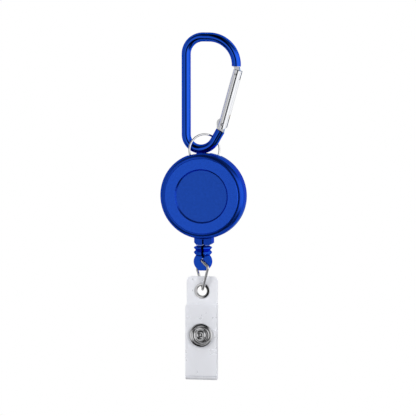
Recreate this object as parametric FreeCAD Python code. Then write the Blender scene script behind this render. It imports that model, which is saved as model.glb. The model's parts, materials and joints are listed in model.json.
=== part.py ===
import FreeCAD, Part
import math
import os
from FreeCAD import Vector

# Retractable badge reel on a snap-gate carabiner, hanging from the carabiner's crown.
# Millimetres, +Z up, the reel's face looks to -Y. The origin is on the inside of the crown,
# where the hook bears on whatever it hangs from.

# Carabiner: a bent round rod with a hinged gate
ROD_R = 1.7
CROWN_Z = 1.7                      # height of the rod's centre line over the origin
CROWN_LEFT = (-1.33, 6.45)         # x of the left crown arc's centre, and its radius
CROWN_RIGHT = (1.1, 10.15)         # x of the right crown arc's centre, and its radius
NOSE_END_DEG = -3.0                # where the right crown arc stops
FOOT_X = -2.3                      # x of both foot arcs' centres
FOOT_Z = -39.9                     # lowest point of the centre line
FOOT_LEFT_R = 5.45
FOOT_RIGHT_R = 6.1
TAIL_LEAN_DEG = 30.0               # the tail's lean from the vertical
TAIL_LENGTH = 4.45
PIVOT = Vector(6.28, 0, -30.56)
GATE_LEAN_DEG = 15.6
GATE_OPEN_DEG = 30.0
GATE_R = 1.75
GATE_TOP = 20.9                    # along the gate, from the pivot
FORK_HALF = 0.75                   # half the width of the slots in the gate's ends
BLADE_HALF = 0.62                  # half the thickness of the milled ends
LOWER_SLOT_TOP = 4.2
UPPER_SLOT_FOOT = 17.6
PIN_R = 0.5
LATCH_R = 0.4
LATCH_AT = (19.3, -0.35)           # along the gate, and across it
CAM_R = 1.65
CAM_OFFSET = 0.9
CAM_DEG = 140.0
PLUNGER_R = 0.7
PLUNGER_TOP = 6.4
SPRING_BORE_TOP = 13.6
SPRING_WIRE_R = 0.1
SPRING_TURNS = 11

# Split ring
RING_CENTRE = Vector(-0.85, 0, -40.2)
RING_R = 5.85
RING_WIRE_R = 0.4
RING_YAW_DEG = 31.0

# Reel case: two round shells that meet at y = 0
CASE_X = -0.96
CASE_Z = -57.07
CASE_R = 16.0
FRONT_Y = -5.0
BACK_Y = 3.0
RIM_R = 2.0                        # rounding of the front edge
RIM_DROP = 0.3                     # how far the rounding starts behind the flat ring
BACK_RIM_R = 2.2
RECESS_R = 9.55
RECESS_DEPTH = 0.7
WALL = 1.0
SIDE_WALL = 1.2
POCKET_HALF = 6.3
POCKET_FOOT_Z = -46.95
POCKET_FLOOR_Y = -3.55
POCKET_WALL = 0.8
POCKET_STEPS = ((-3.2, -2.2), (1.5, 0.0))   # x from which the pocket is shallower, and its floor's y
TAB_HALF = 1.5
TAB_TOP_Z = -43.3
TAB_INNER_Y = 2.3
BAIL_R = 0.8
BAIL_Z = -44.63

# Inside the case
SPOOL_R = 9.1
HUB_R = 6.5
HUB_WALL = 0.75
GROOVE_HALF = 1.3
SPOOL_FRONT_Y = -2.8
SPOOL_BACK_Y = 1.8
POST_R = 1.5
WINDING_R = 8.7
CORD_R = 0.35

# Cord guide, the collar under the case
GUIDE_HALF_X = 3.3
GUIDE_HALF_Y = 2.2
GUIDE_TOP_Z = -71.4
GUIDE_FOOT_Z = -75.37

# Ribbed connector on the end of the cord
CONN_X = -1.4
CONN_TOP_Z = -75.7
RIB_R = 3.35
WAIST_R = 2.7
RIB_Z = (-76.45, -78.25)
BULB_Z = -81.67
BULB_R = 3.5
BULB_HALF_Y = 1.5
CONN_FOOT_Z = -84.96
EYE_Z = -81.2
EYE_R = 0.75

# Wire link
LINK_R = 0.5
LINK_FOOT_Z = -91.95

# Vinyl strap, folded up in front of itself
STRAP_X = -1.65
STRAP_HALF = 5.92
VINYL = 0.55
STRAP_TOP_Z = -87.2
FLAP_TOP_Z = -97.4
FOLD_Z = -124.3
LAYER_GAP = 1.7
EYELET = Vector(-1.7, 0, -92.6)
EYELET_HOLE_R = 1.85
EYELET_R = 2.95
SNAP = Vector(-1.5, 0, -108.9)

FLAP_Y = -(VINYL + LAYER_GAP)      # middle of the front layer
Y_AXIS = Vector(0, 1, 0)
Z_AXIS = Vector(0, 0, 1)


def save(node, shape):
    """Write one sub-part and report its volume."""
    shape = shape.removeSplitter() if len(shape.Solids) == 1 else shape
    shape.exportStep("parts/%s.step" % node)
    print("%-18s solids %d  volume %8.3f  valid %s" % (node, len(shape.Solids), shape.Volume, shape.isValid()))


def polar(x, z, radius, degrees):
    """A point on a circle in the XZ plane."""
    angle = math.radians(degrees)
    return Vector(x + radius * math.cos(angle), 0, z + radius * math.sin(angle))


def arc(x, z, radius, start, middle, end):
    """An arc in the XZ plane through three angles."""
    points = [polar(x, z, radius, a) for a in (start, middle, end)]
    return Part.Arc(*points).toShape()


def line(a, b):
    return Part.LineSegment(a, b).toShape()


def sweep(edges, radius):
    """A round rod along a chain of tangent edges."""
    path = Part.Wire(edges)
    start = edges[0].valueAt(edges[0].FirstParameter)
    tangent = edges[0].tangentAt(edges[0].FirstParameter)
    profile = Part.Wire(Part.makeCircle(radius, start, tangent))
    return path.makePipeShell([profile], True, False)


def rounded_path(points, radii):
    """Straight runs through the points, joined by tangent arcs of the given radii."""
    edges = []
    last = points[0]
    for before, corner, after, radius in zip(points, points[1:], points[2:], radii):
        back = (before - corner).normalize()
        ahead = (after - corner).normalize()
        half = back.getAngle(ahead) / 2
        reach = radius / math.tan(half)
        start = corner + back * reach
        end = corner + ahead * reach
        bisector = (back + ahead).normalize()
        middle = corner + bisector * (radius / math.sin(half) - radius)
        edges += [line(last, start), Part.Arc(start, middle, end).toShape()]
        last = end
    edges.append(line(last, points[-1]))
    return edges


def plate(points, half, y=0.0):
    """A flat plate in the XZ plane, from its corners as (x, z) pairs."""
    corners = [Vector(x, y - half, z) for x, z in points]
    face = Part.Face(Part.makePolygon(corners + corners[:1]))
    return face.extrude(Vector(0, 2 * half, 0))


def disc(x, z, radius, y0, y1):
    """A round plate or pin along Y."""
    return Part.makeCylinder(radius, y1 - y0, Vector(x, y0, z), Y_AXIS)


def box(x0, x1, y0, y1, z0, z1):
    return Part.makeBox(x1 - x0, y1 - y0, z1 - z0, Vector(x0, y0, z0))


def turned(x, z, profile):
    """A solid of revolution about a line along Y; the profile is (radius, y) corners or edges."""
    points = [Vector(x + r, y, z) for r, y in profile]
    face = Part.Face(Part.makePolygon(points + points[:1]))
    return face.revolve(Vector(x, 0, z), Y_AXIS, 360)


def gate_point(along, across=0.0):
    """A point in the gate's own frame: along it from the pivot, and across it, outwards."""
    lean = math.radians(GATE_LEAN_DEG)
    u = Vector(math.sin(lean), 0, math.cos(lean))
    n = Vector(math.cos(lean), 0, -math.sin(lean))
    return PIVOT + u * along + n * across


def gate_box(along0, along1, across0, across1, half):
    """A block in the gate's own frame."""
    corners = [(along0, across0), (along0, across1), (along1, across1), (along1, across0)]
    points = [gate_point(a, c) for a, c in corners]
    return plate([(p.x, p.z) for p in points], half)


def gate_rod(along0, along1, radius):
    direction = gate_point(1) - gate_point(0)
    return Part.makeCylinder(radius, along1 - along0, gate_point(along0), direction)


def cam_centre():
    return polar(PIVOT.x, PIVOT.z, CAM_OFFSET, CAM_DEG)


def plunger_reach(open_deg):
    """Distance from the pivot to the plunger's tip when the gate is open by an angle."""
    psi = math.radians(CAM_DEG - (90 - GATE_LEAN_DEG) - open_deg)
    side = CAM_OFFSET * math.sin(psi)
    ball = CAM_OFFSET * math.cos(psi) + math.sqrt((CAM_R + PLUNGER_R) ** 2 - side ** 2)
    return ball - PLUNGER_R


def rod_edges():
    """The carabiner's centre line, from the nose round the crown and foot to the tail."""
    left_x, left_r = CROWN_LEFT
    right_x, right_r = CROWN_RIGHT
    spine_x = left_x - left_r
    foot_left_z = FOOT_Z + FOOT_LEFT_R
    foot_right_z = FOOT_Z + FOOT_RIGHT_R
    spine_top = Vector(spine_x, 0, CROWN_Z - left_r)
    spine_foot = Vector(FOOT_X - FOOT_LEFT_R, 0, foot_left_z)
    tail = polar(FOOT_X, foot_right_z, FOOT_RIGHT_R, -TAIL_LEAN_DEG)
    lean = math.radians(TAIL_LEAN_DEG)
    tail_end = tail + Vector(math.sin(lean), 0, math.cos(lean)) * TAIL_LENGTH
    return [
        arc(right_x, CROWN_Z - right_r, right_r, NOSE_END_DEG, 45, 90),
        line(Vector(right_x, 0, CROWN_Z), Vector(left_x, 0, CROWN_Z)),
        arc(left_x, CROWN_Z - left_r, left_r, 90, 135, 180),
        line(spine_top, spine_foot),
        arc(FOOT_X, foot_left_z, FOOT_LEFT_R, 180, 225, 270),
        arc(FOOT_X, foot_right_z, FOOT_RIGHT_R, 270, 300, 360 - TAIL_LEAN_DEG),
        line(tail, tail_end),
    ], tail_end


def carabiner_body():
    """The bent rod with its milled nose tongue and its hinge blade."""
    edges, tail_end = rod_edges()
    body = sweep(edges, ROD_R)
    nose = edges[0].valueAt(edges[0].FirstParameter)
    low = [gate_point(18.0, -1.0), gate_point(18.0, 1.0)]
    high = [gate_point(20.4, 1.0), Vector(nose.x + 1.1, 0, nose.z + 0.6)]
    high += [Vector(nose.x - 1.1, 0, nose.z + 0.6), gate_point(20.4, -1.0)]
    tongue = plate([(p.x, p.z) for p in low + high], BLADE_HALF)
    pin = gate_point(*LATCH_AT)
    seat = disc(pin.x, pin.z, LATCH_R + 0.1, -1, 1)
    way_in = gate_box(LATCH_AT[0] - LATCH_R - 0.1, LATCH_AT[0] + LATCH_R + 0.1, -2, LATCH_AT[1], 1)
    tongue = tongue.cut(seat).cut(way_in)
    cam = cam_centre()
    blade = disc(cam.x, cam.z, CAM_R, -BLADE_HALF, BLADE_HALF)
    neck = plate([(tail_end.x - 1.2, tail_end.z - 0.3), (tail_end.x + 1.2, tail_end.z - 0.9),
                  (PIVOT.x + 0.95, PIVOT.z), (cam.x - CAM_R, cam.z)], BLADE_HALF)
    hole = disc(PIVOT.x, PIVOT.z, PIN_R + 0.02, -2, 2)
    return body.fuse([tongue, blade, neck]).cut(hole)


def gate_pivot_pin():
    """Rivet through the gate's fork and the hinge blade."""
    pin = disc(PIVOT.x, PIVOT.z, PIN_R, -GATE_R, GATE_R)
    return pin.makeChamfer(0.12, [e for e in pin.Edges if e.Closed])


def carabiner_gate():
    """A rod with a fork at each end and a blind bore for the return spring."""
    lower = gate_rod(-GATE_R, 0.5, GATE_R).common(disc(PIVOT.x, PIVOT.z, GATE_R, -GATE_R, GATE_R))
    gate = gate_rod(0, GATE_TOP, GATE_R).fuse(lower)
    gate = gate.cut(gate_box(-3, LOWER_SLOT_TOP, -3, 3, FORK_HALF))
    gate = gate.cut(gate_box(UPPER_SLOT_FOOT, GATE_TOP + 1, -3, 3, FORK_HALF))
    gate = gate.cut(gate_rod(LOWER_SLOT_TOP - 1, SPRING_BORE_TOP, PLUNGER_R + 0.08))
    pin = gate_point(*LATCH_AT)
    gate = gate.cut(disc(PIVOT.x, PIVOT.z, PIN_R + 0.05, -3, 3))
    return gate.cut(disc(pin.x, pin.z, LATCH_R + 0.01, -3, 3))


def gate_latch_pin():
    """Cross pin in the gate's upper fork, which drops into the nose's notch."""
    pin = gate_point(*LATCH_AT)
    return disc(pin.x, pin.z, LATCH_R, -1.62, 1.62)


def gate_plunger():
    """Round-nosed plunger that the spring presses on the hinge blade's cam."""
    tip = plunger_reach(0) + 0.05
    ball = Part.makeSphere(PLUNGER_R, gate_point(tip + PLUNGER_R))
    return gate_rod(tip + PLUNGER_R, PLUNGER_TOP, PLUNGER_R).fuse(ball)


def gate_spring():
    """Compression spring behind the plunger."""
    foot, top = PLUNGER_TOP + 0.03 + SPRING_WIRE_R, SPRING_BORE_TOP - 0.03 - SPRING_WIRE_R
    mean_r = PLUNGER_R - SPRING_WIRE_R - 0.02
    helix = Part.makeHelix((top - foot) / SPRING_TURNS, top - foot, mean_r)
    profile = Part.Wire(Part.makeCircle(SPRING_WIRE_R, Vector(mean_r, 0, 0), Y_AXIS))
    coil = Part.Wire(helix).makePipeShell([profile], True, True)
    coil.rotate(Vector(), Y_AXIS, GATE_LEAN_DEG)
    coil.translate(gate_point(foot))
    return coil


def split_ring():
    """The ring that links the hook to the case, turned to pass beside the rod."""
    lean = math.radians(RING_YAW_DEG)
    axis = Vector(-math.sin(lean), math.cos(lean), 0)
    return Part.makeTorus(RING_R, RING_WIRE_R, RING_CENTRE, axis)


def rim_arc(radius, y_start, bulge):
    """Corners of a quarter-round case edge, from its face to where the shells meet."""
    steps = 10
    out = []
    for i in range(steps + 1):
        angle = math.pi / 2 * i / steps
        out.append((CASE_R - radius + radius * math.sin(angle), y_start + bulge * radius * (1 - math.cos(angle))))
    return out + [(CASE_R, 0)]


def front_profile():
    """Outline of the front shell: recessed centre, bevel, flat ring, small step and round rim."""
    floor = FRONT_Y + RECESS_DEPTH
    face = [(0, floor), (RECESS_R, floor), (RECESS_R + 0.55, FRONT_Y), (CASE_R - RIM_R - 0.2, FRONT_Y)]
    rim = rim_arc(RIM_R, FRONT_Y + RIM_DROP, 1)
    inner_r = CASE_R - SIDE_WALL
    inside = [(inner_r, 0), (inner_r, FRONT_Y + RIM_R + 0.3), (inner_r - 1.5, FRONT_Y + WALL + 0.1),
              (RECESS_R + 0.3, FRONT_Y + WALL + 0.1), (RECESS_R, floor + WALL), (0, floor + WALL)]
    return face + rim + inside


def back_profile():
    """Outline of the back shell."""
    face = [(0, BACK_Y), (CASE_R - BACK_RIM_R, BACK_Y)]
    rim = rim_arc(BACK_RIM_R, BACK_Y, -1)
    inner_r = CASE_R - SIDE_WALL
    inside = [(inner_r, 0), (inner_r, BACK_Y - WALL - 0.5), (inner_r - 0.5, BACK_Y - WALL), (0, BACK_Y - WALL)]
    return face + rim + inside


def pocket_walls(y0, y1):
    """Walls round the pocket where the split ring goes in, within one shell's depth."""
    outer = box(CASE_X - POCKET_HALF - POCKET_WALL, CASE_X + POCKET_HALF + POCKET_WALL,
                max(y0, POCKET_FLOOR_Y - POCKET_WALL), y1, POCKET_FOOT_Z - POCKET_WALL, CASE_Z + CASE_R)
    envelope = disc(CASE_X, CASE_Z, CASE_R - 0.05, y0, y1 - (0.35 if y1 > 0 else 0))
    inner = disc(CASE_X, CASE_Z, CASE_R - SIDE_WALL + 0.1, y0 - 1, y1 + 1)
    return outer.common(envelope).common(inner)


def pocket():
    """The space of the pocket itself, deepest on the side where the ring runs in front."""
    floors = [(CASE_X - POCKET_HALF, POCKET_FLOOR_Y), *POCKET_STEPS]
    ends = [x for x, _ in POCKET_STEPS] + [CASE_X + POCKET_HALF]
    parts = [box(x0, x1, floor, BACK_Y + 1, POCKET_FOOT_Z, CASE_Z + CASE_R + 1)
             for (x0, floor), x1 in zip(floors, ends)]
    return parts[0].fuse(parts[1:]).removeSplitter()


def guide_window():
    """Opening in the rim that the cord guide and its flange sit in."""
    neck = box(CASE_X - GUIDE_HALF_X, CASE_X + GUIDE_HALF_X, -GUIDE_HALF_Y, GUIDE_HALF_Y,
               CASE_Z - CASE_R - 1, GUIDE_TOP_Z)
    return neck.fuse(guide_flange())


def guide_flange():
    """The cord guide's inner flange, which the two shells trap."""
    return box(CASE_X - GUIDE_HALF_X - 0.7, CASE_X + GUIDE_HALF_X + 0.7, -GUIDE_HALF_Y - 0.3,
               GUIDE_HALF_Y - 0.4, GUIDE_TOP_Z - 0.1, GUIDE_TOP_Z + 0.7)


def front_case():
    """Front shell of the reel, with the floor of the ring pocket."""
    shell = turned(CASE_X, CASE_Z, front_profile())
    shell = shell.fuse(pocket_walls(FRONT_Y + 0.9, 0)).cut(pocket())
    shell = shell.cut(guide_window())
    return shell.cut(disc(RING_CENTRE.x, BAIL_Z, BAIL_R, POCKET_FLOOR_Y - 0.5, 0))


def back_case():
    """Back shell, with the post that the spool turns on and the tab behind the ring."""
    shell = turned(CASE_X, CASE_Z, back_profile())
    shell = shell.fuse(pocket_walls(0, BACK_Y)).cut(pocket())
    lip = disc(CASE_X, CASE_Z, CASE_R - SIDE_WALL - 0.03, -0.8, 0)
    lip = lip.fuse(disc(CASE_X, CASE_Z, CASE_R - SIDE_WALL + 0.1, 0, 0.6))
    lip = lip.cut(disc(CASE_X, CASE_Z, CASE_R - SIDE_WALL - 0.6, -2, 2))
    away = box(CASE_X - POCKET_HALF - 1, CASE_X + POCKET_HALF + 1, -3, 3, POCKET_FOOT_Z - 2, 0)
    lip = lip.cut(away)
    tab = box(RING_CENTRE.x - TAB_HALF, RING_CENTRE.x + TAB_HALF, TAB_INNER_Y, BACK_Y,
              POCKET_FOOT_Z - 1, TAB_TOP_Z)
    tab = tab.makeFillet(0.9, [e for e in tab.Edges if e.Length < 0.8 and e.CenterOfMass.z > TAB_TOP_Z - 0.1])
    post = disc(CASE_X, CASE_Z, POST_R, SPOOL_FRONT_Y + 0.1, BACK_Y - 0.5)
    post = post.cut(disc(CASE_X, CASE_Z, 0.5, SPOOL_FRONT_Y, 0.5))
    post = post.cut(box(CASE_X - 0.15, CASE_X + 0.15, -3, 0.7, CASE_Z, CASE_Z + 3))
    shell = shell.fuse([lip, tab, post]).cut(guide_window())
    return shell.cut(disc(RING_CENTRE.x, BAIL_Z, BAIL_R, 0, BACK_Y + 1))


def bail_post():
    """Steel pin across the pocket, inside the split ring."""
    pin = disc(RING_CENTRE.x, BAIL_Z, BAIL_R, POCKET_FLOOR_Y - 0.5, BACK_Y)
    return pin.fuse(disc(RING_CENTRE.x, BAIL_Z, BAIL_R + 0.3, BACK_Y, BACK_Y + 0.3))


def cord_guide():
    """Collar under the case that the cord runs out through."""
    x = CASE_X
    outline = [(x - GUIDE_HALF_X, GUIDE_TOP_Z), (x - GUIDE_HALF_X, GUIDE_FOOT_Z + 0.9),
               (x - GUIDE_HALF_X + 0.8, GUIDE_FOOT_Z), (x + GUIDE_HALF_X - 0.8, GUIDE_FOOT_Z),
               (x + GUIDE_HALF_X, GUIDE_FOOT_Z + 0.6), (x + GUIDE_HALF_X, GUIDE_TOP_Z)]
    body = plate(outline, GUIDE_HALF_Y)
    bore = Part.makeCylinder(CORD_R + 0.25, 8, Vector(x, 0, GUIDE_FOOT_Z - 1), Z_AXIS)
    mouth = Part.makeCone(CORD_R + 0.25, 1.6, 1.6, Vector(x, 0, GUIDE_TOP_Z - 0.9), Z_AXIS)
    slit = box(x - 0.3, x + 0.3, -GUIDE_HALF_Y - 1, 0, GUIDE_FOOT_Z - 1, CASE_Z - CASE_R - 0.2)
    return body.fuse(guide_flange()).cut(bore).cut(mouth).cut(slit)


def spool():
    """Reel for the cord, with a cup for the spring."""
    hub_in = HUB_R - HUB_WALL
    profile = [(POST_R + 0.06, SPOOL_BACK_Y), (SPOOL_R, SPOOL_BACK_Y), (SPOOL_R, GROOVE_HALF),
               (HUB_R, GROOVE_HALF), (HUB_R, -GROOVE_HALF), (SPOOL_R, -GROOVE_HALF),
               (SPOOL_R, -GROOVE_HALF - 0.6), (HUB_R, -GROOVE_HALF - 0.6), (HUB_R, SPOOL_FRONT_Y),
               (hub_in, SPOOL_FRONT_Y), (hub_in, SPOOL_BACK_Y - 0.9), (POST_R + 0.06, SPOOL_BACK_Y - 0.9)]
    return turned(CASE_X, CASE_Z, profile)


def spring_cover():
    """Thin disc that keeps the spring in the spool's cup."""
    ring = disc(CASE_X, CASE_Z, HUB_R, SPOOL_FRONT_Y - 0.3, SPOOL_FRONT_Y)
    return ring.cut(disc(CASE_X, CASE_Z, 2.6, -5, 0))


def main_spring():
    """Flat spiral spring, wound from the post to the spool's cup."""
    turns, steps, thick = 8, 20, 0.13
    inner_r, outer_r = POST_R + 0.25, HUB_R - HUB_WALL - 0.25

    def edge(offset):
        points = []
        for i in range(turns * steps + 1):
            radius = inner_r + (outer_r - inner_r) * i / (turns * steps) + offset
            angle = 2 * math.pi * i / steps
            points.append(Vector(CASE_X + radius * math.cos(angle), -2.4, CASE_Z + radius * math.sin(angle)))
        curve = Part.BSplineCurve()
        curve.interpolate(points)
        return curve.toShape(), points[0], points[-1]

    inside, in_start, in_end = edge(-thick / 2)
    outside, out_start, out_end = edge(thick / 2)
    wire = Part.Wire([inside, line(in_end, out_end), outside, line(out_start, in_start)])
    return Part.Face(wire).extrude(Vector(0, 3.0, 0))


def friction_washer():
    """Low-friction washer between the spool and the back shell."""
    ring = disc(CASE_X, CASE_Z, 3.6, SPOOL_BACK_Y + 0.02, BACK_Y - WALL - 0.02)
    return ring.cut(disc(CASE_X, CASE_Z, POST_R + 0.05, 0, 3))


def axle_screw():
    """Pan-head screw that keeps the spool on its post."""
    head = disc(CASE_X, CASE_Z, 2.1, SPOOL_FRONT_Y - 0.35, SPOOL_FRONT_Y + 0.1)
    shank = disc(CASE_X, CASE_Z, 0.5, SPOOL_FRONT_Y, 0.0)
    slot = box(CASE_X - 1.4, CASE_X + 1.4, -5, SPOOL_FRONT_Y - 0.15, CASE_Z - 0.2, CASE_Z + 0.2)
    return head.fuse(shank).cut(slot)


def cord_winding():
    """The cord on the spool, as one ring of its outer shape."""
    ring = disc(CASE_X, CASE_Z, WINDING_R, -GROOVE_HALF + 0.03, GROOVE_HALF - 0.03)
    return ring.cut(disc(CASE_X, CASE_Z, HUB_R + 0.02, -3, 3))


def cord_lead():
    """The cord from the winding, over the guide's mouth and down to the connector."""
    mouth = Vector(CASE_X, 0, GUIDE_TOP_Z + 0.2)
    radius = WINDING_R + CORD_R + 0.05
    leaves_deg = math.degrees(math.acos(radius / (CASE_Z - mouth.z))) - 90
    rise = polar(CASE_X, CASE_Z, radius, leaves_deg)
    points = [rise, mouth, Vector(CASE_X, 0, CONN_TOP_Z + 0.03)]
    return sweep(rounded_path(points, [3.0]), CORD_R)


def connector_body():
    """Ribbed moulding on the cord's end, with an eye for the wire link."""
    neck_z = (RIB_Z[0] + RIB_Z[1]) / 2
    bulb_top = RIB_Z[1] - 0.95
    outline = [(WAIST_R - 0.3, CONN_TOP_Z), (WAIST_R, CONN_TOP_Z - 0.25), (RIB_R, RIB_Z[0] + 0.2),
               (RIB_R, RIB_Z[0] - 0.2), (WAIST_R, neck_z), (RIB_R, RIB_Z[1] + 0.2), (RIB_R, RIB_Z[1] - 0.2),
               (WAIST_R, bulb_top)]
    for i in range(1, 12):
        angle = math.radians(62 - i * 11.0)
        outline.append((BULB_R * math.cos(angle), BULB_Z + BULB_R * math.sin(angle)))
    outline = [(r, z) for r, z in outline if z > CONN_FOOT_Z]
    outline.append((1.7, CONN_FOOT_Z))
    points = [Vector(CONN_X, 0, CONN_TOP_Z)] + [Vector(CONN_X + r, 0, z) for r, z in outline]
    points += [Vector(CONN_X, 0, CONN_FOOT_Z)]
    body = Part.Face(Part.makePolygon(points + points[:1])).revolve(Vector(CONN_X, 0, 0), Z_AXIS, 360)
    for y0, y1 in ((-5, -BULB_HALF_Y), (BULB_HALF_Y, 5)):
        body = body.cut(box(CONN_X - 5, CONN_X + 5, y0, y1, CONN_FOOT_Z - 1, bulb_top - 0.4))
    body = body.cut(disc(CONN_X, EYE_Z, EYE_R, -3, 3))
    slit = box(CASE_X - 0.5, CASE_X + 0.5, -5, 0.5, EYE_Z + 1.0, CONN_TOP_Z + 1)
    return body.cut(slit)


def cord_knot():
    """The cord's end inside the connector, with the knot that holds it."""
    top = Vector(CASE_X, 0, EYE_Z + 1.9)
    tail = Part.makeCylinder(CORD_R, CONN_TOP_Z - top.z, top, Z_AXIS)
    return tail.fuse(Part.makeSphere(0.48, top))


def wire_link():
    """Bent wire loop through the connector's eye and the strap's eyelet."""
    eye = Vector(CONN_X, 0, EYE_Z)
    foot = Vector(CONN_X - 0.1, 0, LINK_FOOT_Z)
    points = [eye + Vector(0, -0.03, 0), eye + Vector(0, -2.15, 0), eye + Vector(2.45, -2.15, -2.5),
              foot + Vector(0.25, -1.3, 0), foot + Vector(-0.25, 1.3, 0),
              eye + Vector(-2.75, 2.15, -3.4), eye + Vector(0, 2.15, 0), eye + Vector(0, 0.03, 0)]
    return sweep(rounded_path(points, [0.6, 0.9, 0.62, 0.62, 0.9, 0.6]), LINK_R)


def strap_layer(y, z0, z1, corner, corner_z):
    """A flat layer of the vinyl with two rounded corners at one end."""
    layer = box(STRAP_X - STRAP_HALF, STRAP_X + STRAP_HALF, y - VINYL / 2, y + VINYL / 2, z0, z1)
    edges = [e for e in layer.Edges if abs(e.Length - VINYL) < 1e-6 and abs(e.CenterOfMass.z - corner_z) < 0.01]
    return layer.makeFillet(corner, edges)


def strap_back():
    """Back layer of the strap, with the fold at its foot."""
    layer = strap_layer(0, FOLD_Z, STRAP_TOP_Z, 1.9, STRAP_TOP_Z)
    inner = LAYER_GAP / 2
    axis = Vector(STRAP_X - STRAP_HALF, FLAP_Y / 2, FOLD_Z)
    tube = Part.makeCylinder(inner + VINYL, 2 * STRAP_HALF, axis, Vector(1, 0, 0))
    tube = tube.cut(Part.makeCylinder(inner, 2 * STRAP_HALF, axis, Vector(1, 0, 0)))
    fold = tube.common(box(-20, 20, -5, 5, FOLD_Z - 5, FOLD_Z))
    strap = layer.fuse(fold)
    strap = strap.cut(disc(EYELET.x, EYELET.z, EYELET_HOLE_R + 0.25, -1, 1))
    return strap.cut(disc(SNAP.x, SNAP.z, 1.0, -1, 1))


def strap_flap():
    """Front layer of the strap, from the fold up to its free end."""
    flap = strap_layer(FLAP_Y, FOLD_Z + 0.02, FLAP_TOP_Z, 1.2, FLAP_TOP_Z)
    return flap.cut(disc(SNAP.x, SNAP.z, 1.9, FLAP_Y - 1, FLAP_Y + 1))


def eyelet():
    """Rolled metal eyelet, from the front."""
    half = VINYL / 2
    profile = [(EYELET_HOLE_R, -half - 0.22), (EYELET_HOLE_R + 0.25, -half - 0.3), (EYELET_R - 0.15, -half - 0.22),
               (EYELET_R, -half - 0.02), (EYELET_HOLE_R + 0.24, -half - 0.02), (EYELET_HOLE_R + 0.24, half + 0.2),
               (EYELET_HOLE_R, half + 0.2)]
    return turned(EYELET.x, EYELET.z, profile)


def eyelet_washer():
    """The eyelet's back ring."""
    half = VINYL / 2
    ring = disc(EYELET.x, EYELET.z, EYELET_R, half + 0.02, half + 0.24)
    return ring.cut(disc(EYELET.x, EYELET.z, EYELET_HOLE_R + 0.25, 0, 2))


def snap_post():
    """Domed cap on the back of the strap, with the rivet post that holds the stud."""
    y = VINYL / 2 + 0.02
    profile = [(0, y), (3.9, y), (4.1, y + 0.15), (3.6, y + 0.42), (2.0, y + 0.6), (0, y + 0.65)]
    cap = turned(SNAP.x, SNAP.z, profile)
    return cap.fuse(disc(SNAP.x, SNAP.z, 0.95, -VINYL / 2 - 0.5, y + 0.1))


def snap_stud():
    """The stud half of the snap, on the front of the back layer."""
    y = -VINYL / 2 - 0.02
    profile = [(0.97, y), (3.6, y), (3.6, y - 0.3), (1.45, y - 0.34), (1.35, y - 0.7), (1.45, y - 1.1),
               (1.1, y - 1.35), (0, y - 1.4), (0, y - 0.55), (0.97, y - 0.55)]
    return turned(SNAP.x, SNAP.z, profile)


def snap_socket():
    """The socket half of the snap, on the inside of the flap."""
    y = FLAP_Y + VINYL / 2 + 0.02
    profile = [(1.7, y), (4.2, y), (4.2, y + 0.3), (3.6, y + 0.9), (2.2, y + 1.2), (1.65, y + 1.2)]
    return turned(SNAP.x, SNAP.z, profile)


def snap_cap():
    """Cap on the front of the flap: a rolled edge, a ridge inside it and a raised centre with a knob."""
    y = FLAP_Y - VINYL / 2 - 0.02
    profile = [(1.6, y + VINYL), (1.85, y + VINYL), (1.85, y), (3.9, y), (4.35, y - 0.2), (4.45, y - 0.5),
               (4.3, y - 0.8), (3.98, y - 0.93), (3.6, y - 0.8), (3.35, y - 0.4), (3.15, y - 0.25),
               (2.95, y - 0.35), (2.75, y - 0.58), (2.5, y - 0.62), (2.3, y - 0.5), (2.1, y - 0.24),
               (1.9, y - 0.26), (1.7, y - 0.52), (1.45, y - 0.66), (1.2, y - 0.58), (1.0, y - 0.36),
               (0.75, y - 0.34), (0.55, y - 0.52), (0.25, y - 0.6), (0, y - 0.61), (0, y), (1.4, y + 0.1)]
    return turned(SNAP.x, SNAP.z, profile)


NODES = [carabiner_body, gate_pivot_pin, carabiner_gate, gate_latch_pin, gate_plunger, gate_spring,
         split_ring, front_case, back_case, bail_post, cord_guide, spool, spring_cover, main_spring,
         friction_washer, axle_screw, cord_winding, cord_lead, connector_body, cord_knot, wire_link,
         strap_back, strap_flap, eyelet, eyelet_washer, snap_post, snap_stud, snap_socket, snap_cap]


def main():
    os.makedirs("parts", exist_ok=True)
    for make in NODES:
        save(make.__name__, make())
    travel = plunger_reach(GATE_OPEN_DEG) - plunger_reach(0)
    print("plunger travel %.4f mm over %.0f degrees" % (travel, GATE_OPEN_DEG))


main()
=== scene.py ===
"""Finished looks for a jointed badge reel that hangs from a snap-gate carabiner.

Metres, +Z up, the reel's face looks to -Y, and the origin is on the inside of the carabiner's crown.
Sizes are given in millimetres and turned into metres where a mesh is made.
"""

from __future__ import annotations

import json
import logging
import math
from dataclasses import dataclass, field
from enum import Enum

import bmesh
import bpy
from mathutils import Matrix, Vector

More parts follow.
